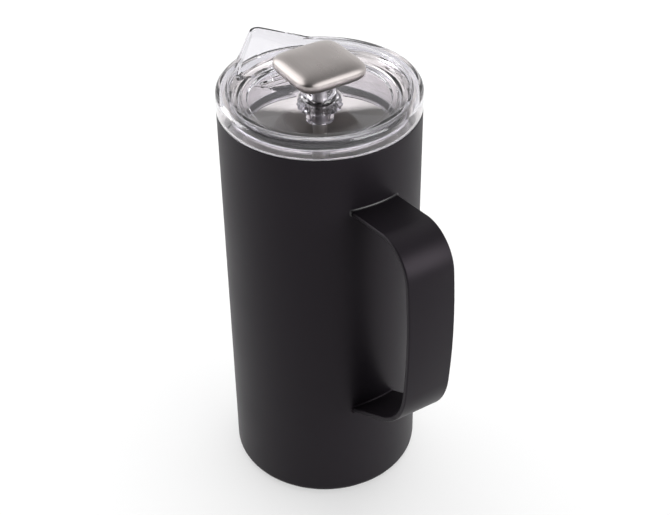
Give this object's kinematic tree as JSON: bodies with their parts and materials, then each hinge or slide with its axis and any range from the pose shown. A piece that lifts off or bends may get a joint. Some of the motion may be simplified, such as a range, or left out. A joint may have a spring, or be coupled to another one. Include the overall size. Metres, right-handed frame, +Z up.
{
  "type": "french press",
  "caption": "Tall straight insulated coffee press with a flat strap handle, a clear lid with a pouring beak and a steel plunger with a rounded square knob.",
  "frame": {"origin": "centre of the flat base cover, on the surface that the press stands on", "axes": "+Z up along the shared axis of vessel, lid and plunger; +X towards the handle; -X towards the spout"},
  "size_m": [0.1619, 0.1, 0.2431],
  "materials": {
    "powder_coat": "matte black powder coat",
    "satin_steel": "satin stainless",
    "pressed_steel": "plain pressed stainless",
    "clear_plastic": "clear moulded plastic",
    "silicone": "dark grey silicone",
    "black_rubber": "black rubber",
    "brushed_knob_steel": "brushed stainless",
    "brass": "turned brass",
    "polished_steel": "polished stainless",
    "woven_steel": "drawn stainless wire"
  },
  "bodies": {
    "carafe": {"outer_shell": "powder_coat", "inner_liner": "satin_steel", "base_plate": "pressed_steel", "seal_bead": "pressed_steel", "getter_pill": "pressed_steel", "base_cover": "powder_coat", "handle_strap": "powder_coat"},
    "gasket": {"lid_gasket": "silicone"},
    "lid": {"lid_cover": "clear_plastic", "seal_retainer": "clear_plastic"},
    "seal": {"rod_seal": "black_rubber"},
    "plunger": {"knob_shell": "brushed_knob_steel", "knob_base": "brushed_knob_steel", "knob_nut": "brass", "plunger_rod": "polished_steel", "rod_collar": "polished_steel", "spiral_plate": "pressed_steel", "spiral_spring": "woven_steel", "mesh_screen": "woven_steel", "cross_plate": "pressed_steel", "filter_nut": "polished_steel"}
  },
  "joints": [
    {"name": "lid_lift", "type": "slide", "parent": "carafe", "child": "gasket", "axis": [0, 0, 1], "range_m": [0, 0.24]},
    {"name": "lid_turn", "type": "hinge", "parent": "gasket", "child": "lid", "pos_m": [0, 0, 0.217], "axis": [0, 0, 1], "continuous": true},
    {"name": "plunger_turn", "type": "hinge", "parent": "lid", "child": "seal", "pos_m": [0, 0, 0.231], "axis": [0, 0, 1], "continuous": true},
    {"name": "plunge", "type": "slide", "parent": "seal", "child": "plunger", "axis": [0, 0, 1], "range_m": [0, 0.172]}
  ]
}
